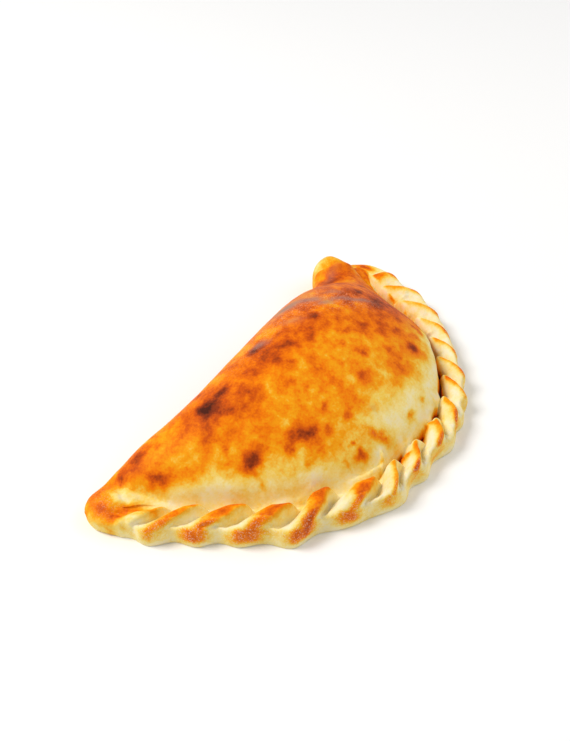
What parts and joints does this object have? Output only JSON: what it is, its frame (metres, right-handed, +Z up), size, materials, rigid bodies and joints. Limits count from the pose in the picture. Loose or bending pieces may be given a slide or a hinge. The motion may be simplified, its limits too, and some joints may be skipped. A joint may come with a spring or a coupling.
{
  "type": "calzone",
  "caption": "Whole baked calzone, a half moon of browned dough closed over its filling and sealed along the curved side with a twisted rope of crimps.",
  "frame": {"origin": "on the flat underside, below the middle of the bounding box", "axes": "+X along the fold from the low tip to the high tip with the pinched ear, -Y from the fold to the crimped rim, +Z up"},
  "size_m": [0.2806, 0.1506, 0.0572],
  "materials": {
    "crust": "baked bread crust: pale cream along the seam, golden to orange on the dome, with brown blisters and a dusting of flour; satin to matt"
  },
  "bodies": {
    "root": {"calzone": "crust"}
  },
  "joints": []
}
